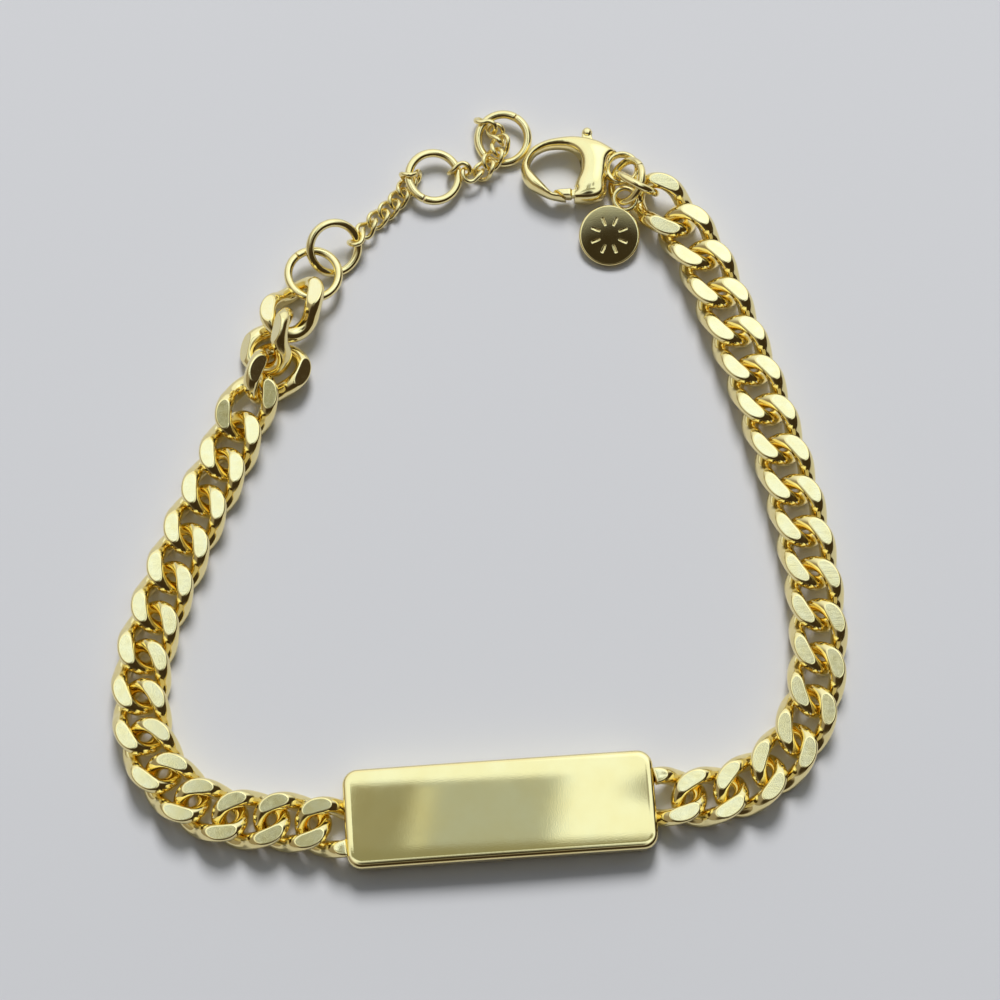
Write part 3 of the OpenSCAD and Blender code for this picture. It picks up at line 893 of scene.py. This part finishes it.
def combine(mesh, tools):
    """Applies a list of (operation, bmesh) to a bmesh through boolean modifiers."""
    def helper_object(part):
        bmesh.ops.recalc_face_normals(part, faces=part.faces[:])
        return add_object("helper", as_data("helper", part))

    base = helper_object(mesh)
    helpers = [base]
    for operation, tool in tools:
        helper = helper_object(tool)
        helpers.append(helper)
        modifier = base.modifiers.new("cut", "BOOLEAN")
        modifier.operation = operation
        modifier.solver = "EXACT"
        modifier.object = helper
    bpy.context.view_layer.update()
    shaped = base.evaluated_get(bpy.context.evaluated_depsgraph_get())
    result = bmesh.new()
    result.from_mesh(shaped.to_mesh())
    shaped.to_mesh_clear()
    for helper in helpers:
        data = helper.data
        bpy.data.objects.remove(helper)
        bpy.data.meshes.remove(data)
    return result


def clasp_height(half, loops):
    """Half thickness of the clasp's body: a membrane held at its borders, so that the wide housing swells."""
    step, edge, rounds = 0.1, 0.72, 1500
    low, high = loops[0].min(0) - 2 * step, loops[0].max(0) + 2 * step
    xs, ys = (np.arange(low[k], high[k] + step, step) for k in (0, 1))
    cells = np.stack(np.meshgrid(xs, ys, indexing="ij"), -1).reshape(-1, 2)
    solid = (inside(cells, loops[0]) & ~inside(cells, loops[1])).reshape(len(xs), len(ys))
    bulge = np.zeros(solid.shape)
    for _ in range(rounds):
        around = sum(np.roll(bulge, shift, axis) for axis in (0, 1) for shift in (1, -1))
        bulge = solid * (around + step * step) / 4
    swell = np.sqrt(bulge / bulge.max())

    def height(points):
        at = (points - low) / step
        cell = np.floor(at).astype(int)
        (i, j), (u, v) = cell.T, (at - cell).T
        across = swell[i, j] * (1 - u) + swell[i + 1, j] * u
        beyond = swell[i, j + 1] * (1 - u) + swell[i + 1, j + 1] * u
        return edge + (half - edge) * (across * (1 - v) + beyond * v)
    return height


def level(half):
    """The same half thickness everywhere."""
    return lambda points: np.full(len(points), half)


def clasp_body_mesh(sizes):
    """The casting: hook and swelling housing, with the tail eye added and the lever's room cut out."""
    half = sizes.clasp_thickness / MM / 2
    loops = [smooth_loop(BODY_OUTLINE, 12), smooth_loop(OPENING_OUTLINE, 12)]
    body = inflate(loops, clasp_height(half, loops), 0.55, 0.11)
    eye = inflate([circle((0, 0), EYE_OUTER), circle((0, 0), EYE_INNER)], level(0.54), 0.32, 0.1)
    return combine(body, [
        ("DIFFERENCE", prism(circle((0, 0), EYE_CUT), CUT_THROUGH)),
        ("UNION", eye),
        ("DIFFERENCE", prism(within_sweep(GATE_CUT, BODY_SWEEP), CUT_THROUGH)),
        ("DIFFERENCE", prism(within_sweep(SLOT_ARM, BODY_SWEEP), SLOT_WIDTH)),
        ("DIFFERENCE", prism(SLOT_THUMB, SLOT_WIDTH)),
        ("DIFFERENCE", prism(circle(PIVOT, SLOT_ROUND_HUB), SLOT_WIDTH))])


def lever_mesh():
    """The lever: arm, thumb piece, hub, thumb pad and gate joined in one."""
    # Outline of each part, then its half thickness, rounding and mesh step
    parts = (
        (within_sweep(LEVER_ARM, LEVER_SWEEP), 0.375, 0.12, 0.09),
        (smooth_loop(LEVER_THUMB, 8), 0.37, 0.12, 0.09),
        (circle(PIVOT, HUB_RADIUS), 0.36, 0.1, 0.12),
        (circle(PAD_MIDDLE, PAD_RADIUS), 0.6, 0.45, 0.06),
        (within_sweep(LEVER_GATE, LEVER_SWEEP), 0.8, 0.25, 0.07))
    arm, *others = [
        inflate([outline], level(half), rounding, step) for outline, half, rounding, step in parts]
    return combine(arm, [("UNION", other) for other in others])


class BRACELET_OT_clasp(bpy.types.Operator):
    """Makes the lobster clasp: body, lever and rivet"""
    bl_idname = "bracelet.clasp"
    bl_label = "Clasp"

    def execute(self, context):
        pieces = (
            ("clasp_body", clasp_body_mesh(context.scene.bracelet_fittings), BRACELET),
            ("clasp_lever", lever_mesh(), LEVER))
        for node, mesh, body in pieces:
            move(mesh, CLASP_LIE)
            finish_piece(node, mesh, ("casting",), [node], body)
        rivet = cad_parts["clasp_rivet"]
        rivet.data.materials.clear()
        rivet.data.materials.append(Looks.get("casting"))
        return {"FINISHED"}


# Stage

class BraceletStage(bpy.types.PropertyGroup):
    elevation: FloatProperty(
        name="Elevation", description="Angle of the camera above the surface",
        default=math.radians(75), subtype="ANGLE")
    distance: FloatProperty(
        name="Distance", description="Distance of the camera from the surface's middle",
        default=0.280, unit="LENGTH")
    lens: FloatProperty(name="Lens", description="Focal length for a 36 mm wide sensor", default=100.98)


# The room round the bracelet: its colour, then each part's azimuth, elevation, inner and outer angle, colour
ROOM = (0.30, 0.265, 0.21)
ROOM_LOBES = (
    (80, 50, 35, 80, (1.00, 1.07, 1.12)),
    (58, 70, 20, 36, (1.00, 1.13, 1.24)),
    (62, 55, 8, 18, (1.5, 1.6, 1.7)),
    (53, 76.6, 1.7, 3.6, (0.38, 0.40, 0.38)),
    (-90, 77, 6.5, 14, (0.04, 0.032, 0.02)),
    (-95, 34, 18, 38, (0.045, 0.032, 0.018)),
    (-45, 25, 22, 46, (0.04, 0.028, 0.015)),
    (0, 20, 18, 40, (0.05, 0.035, 0.018)))
# Ceiling right above, by slope from the zenith along x and y: where each patch starts, is full, begins to
# fade and ends, then its colour
ROOM_CARDS = (
    ((-0.117, -0.109, 0.032, 0.05), (-0.02, 0.02, 0.222, 0.234), (0.44, 0.50, 0.54)),
    ((-0.117, -0.109, -0.066, -0.06), (-0.02, 0.02, 0.222, 0.234), (0.31, 0.32, 0.26)),
    ((-0.064, -0.06, -0.052, -0.044), (-0.02, 0.02, 0.21, 0.222), (0.60, 0.64, 0.58)),
    ((-0.3, -0.2, 0.2, 0.3), (-0.02, 0.02, 0.058, 0.082), (0.28, 0.29, 0.22)))

# Share of the room's light that falls on the surface, so that the window's shadows stay deep
ROOM_ON_SURFACE = 0.42

# What the camera sees past the surface's edge
BACKDROP = (0.80, 0.80, 0.82)


def sky_direction(azimuth, elevation):
    """Unit vector towards a place in the sky, given in degrees."""
    a, e = math.radians(azimuth), math.radians(elevation)
    return Vector((math.cos(a) * math.cos(e), math.sin(a) * math.cos(e), math.sin(e)))


def studio_world(scene):
    """The soft room that the metal mirrors: bright towards the back, darker in front and at the right."""
    world = bpy.data.worlds.new("Soft room")
    scene.world = world
    world.use_nodes = True
    tree = NodeTree(world.node_tree)
    nodes, links = tree.nodes, tree.links
    nodes.clear()
    direction = nodes.new("ShaderNodeTexCoord").outputs["Generated"]

    def lobe(azimuth, elevation, inner, outer):
        """One inside a cone of the inner angle, falling to nothing at the outer angle."""
        dot = nodes.new("ShaderNodeVectorMath")
        dot.operation = "DOT_PRODUCT"
        links.new(direction, dot.inputs[0])
        dot.inputs[1].default_value = sky_direction(azimuth, elevation)
        low, high = (math.cos(math.radians(angle)) for angle in (outer, inner))
        return tree.span(dot.outputs["Value"], low, high, smooth=True)

    def band(value, start, full, ending, end):
        rising = tree.span(value, start, full, smooth=True)
        falling = tree.span(value, end, ending, smooth=True)
        return tree.maths("MULTIPLY", rising, falling)

    split = nodes.new("ShaderNodeSeparateXYZ")
    links.new(direction, split.inputs["Vector"])
    overhead = tree.span(split.outputs["Z"], 0.6, 0.7, smooth=True)
    slope_x, slope_y = (tree.maths("DIVIDE", split.outputs[axis], split.outputs["Z"]) for axis in "XY")

    colour = ROOM
    for azimuth, elevation, inner, outer, tone in ROOM_LOBES:
        colour = tree.blend(lobe(azimuth, elevation, inner, outer), colour, tone)
    for across, along, tone in ROOM_CARDS:
        card = tree.maths("MULTIPLY", band(slope_x, *across), band(slope_y, *along))
        colour = tree.blend(tree.maths("MULTIPLY", card, overhead), colour, tone)
    path = nodes.new("ShaderNodeLightPath")
    room = nodes.new("ShaderNodeBackground")
    links.new(colour, room.inputs["Color"])
    strength = tree.span(path.outputs["Is Diffuse Ray"], 0, 1, 1, ROOM_ON_SURFACE)
    links.new(strength, room.inputs["Strength"])
    backdrop = nodes.new("ShaderNodeBackground")
    backdrop.inputs["Color"].default_value = (*BACKDROP, 1)
    choose = nodes.new("ShaderNodeMixShader")
    links.new(path.outputs["Is Camera Ray"], choose.inputs["Fac"])
    links.new(room.outputs["Background"], choose.inputs[1])
    links.new(backdrop.outputs["Background"], choose.inputs[2])
    links.new(choose.outputs["Shader"], nodes.new("ShaderNodeOutputWorld").inputs["Surface"])


def window_light():
    """The soft window that throws the shadows, at the back; the room shows in its place in the metal."""
    azimuth, elevation = 88, 46
    distance, diameter, watts = 1.8, 0.7, 34
    data = bpy.data.lights.new("Window light", "AREA")
    data.shape = "DISK"
    data.size = diameter
    data.energy = watts
    light = add_object("Window light", data)
    light.location = distance * sky_direction(azimuth, elevation)
    light.rotation_euler = (-light.location).to_track_quat("-Z", "Y").to_euler()
    light.visible_glossy = False


class BRACELET_OT_stage(bpy.types.Operator):
    """Makes the camera, the pale surface and the soft light"""
    bl_idname = "bracelet.stage"
    bl_label = "Stage"

    def execute(self, context):
        scene = context.scene
        stage = scene.bracelet_stage
        centre = Vector((-LAYOUT_MIDDLE[0] * MM, -LAYOUT_MIDDLE[1] * MM, 0))
        data = bpy.data.cameras.new("Camera")
        data.sensor_fit = "HORIZONTAL"
        data.sensor_width = 36
        data.lens = stage.lens
        data.clip_start = 0.01
        camera = add_object("Camera", data)
        offset = Vector((0, -math.cos(stage.elevation), math.sin(stage.elevation))) * stage.distance
        camera.location = centre + offset
        camera.rotation_euler = (-offset).to_track_quat("-Z", "Y").to_euler()
        scene.camera = camera
        scene.view_settings.view_transform = "Standard"
        scene.cycles.blur_glossy = 0
        scene.cycles.sample_clamp_indirect = 0
        scene.cycles.glossy_bounces = 8
        scene.cycles.diffuse_bounces = 6
        self.make_surface(scene)
        studio_world(scene)
        window_light()
        return {"FINISHED"}

    def make_surface(self, scene):
        mesh = bmesh.new()
        bmesh.ops.create_grid(mesh, x_segments=1, y_segments=1, size=1.5)
        data = as_data("Surface", mesh)
        floor = add_object("Surface", data)
        material = bpy.data.materials.new("Pale painted surface")
        material.use_nodes = True
        paint = material.node_tree.nodes["Principled BSDF"]
        paint.inputs["Base Color"].default_value = (*scene.bracelet_finish.surface, 1)
        paint.inputs["Roughness"].default_value = 0.6
        paint.inputs["Specular IOR Level"].default_value = 0.3
        data.materials.append(material)


class BRACELET_PT_panel(bpy.types.Panel):
    bl_idname = "BRACELET_PT_panel"
    bl_label = "Bracelet"
    bl_space_type = "VIEW_3D"
    bl_region_type = "UI"
    bl_category = "Bracelet"

    def draw(self, context):
        layout = self.layout
        scene = context.scene
        for group in (scene.bracelet_chain, scene.bracelet_plate, scene.bracelet_fittings,
                      scene.bracelet_finish, scene.bracelet_stage):
            box = layout.box()
            for key in group.__annotations__:
                box.prop(group, key)
        for operator in OPERATORS:
            layout.operator(operator.bl_idname)


GROUPS = (
    ("bracelet_chain", BraceletChain), ("bracelet_plate", BraceletPlate),
    ("bracelet_fittings", BraceletFittings), ("bracelet_finish", BraceletFinish),
    ("bracelet_stage", BraceletStage))
OPERATORS = (
    BRACELET_OT_main_links, BRACELET_OT_name_plate, BRACELET_OT_rings, BRACELET_OT_fine_chains,
    BRACELET_OT_tag, BRACELET_OT_clasp, BRACELET_OT_stage)


def register():
    for name, group in GROUPS:
        bpy.utils.register_class(group)
        setattr(bpy.types.Scene, name, PointerProperty(type=group))
    for cls in (*OPERATORS, BRACELET_PT_panel):
        bpy.utils.register_class(cls)


def unregister():
    for cls in (BRACELET_PT_panel, *reversed(OPERATORS)):
        bpy.utils.unregister_class(cls)
    for name, group in reversed(GROUPS):
        delattr(bpy.types.Scene, name)
        bpy.utils.unregister_class(group)


def main():
    register()
    bpy.ops.bracelet.stage()
    bpy.ops.bracelet.main_links()
    bpy.ops.bracelet.name_plate()
    bpy.ops.bracelet.rings()
    bpy.ops.bracelet.fine_chains()
    bpy.ops.bracelet.tag()
    bpy.ops.bracelet.clasp()


if __name__ == "__main__":
    main()
